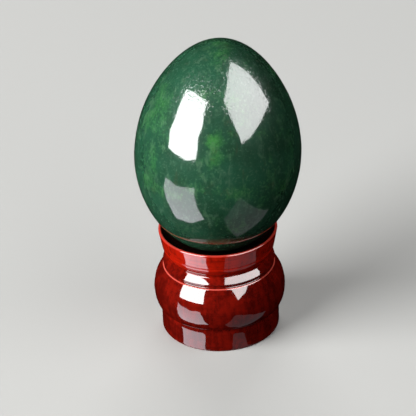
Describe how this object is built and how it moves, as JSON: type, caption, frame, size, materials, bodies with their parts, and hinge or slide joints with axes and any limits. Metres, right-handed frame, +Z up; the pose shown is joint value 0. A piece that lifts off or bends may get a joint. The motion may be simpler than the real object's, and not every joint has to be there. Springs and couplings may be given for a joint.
{
  "type": "polished stone egg on stand",
  "caption": "Polished green stone egg, pointed end up, resting in the cup of a turned and lacquered wooden stand; a desk or shelf ornament.",
  "frame": {"origin": "centre of the stand's flat underside", "axes": "+Z up along the stand's turning axis, +X to the right in the picture, towards which the egg leans slightly, +Y away from the viewer"},
  "size_m": [0.045, 0.045, 0.0865],
  "materials": {
    "stone": "mottled green stone, high polish",
    "lacquered_wood": "red-brown stain under thick gloss lacquer"
  },
  "bodies": {
    "root": {"egg": "stone", "stand": "lacquered_wood"}
  },
  "joints": []
}
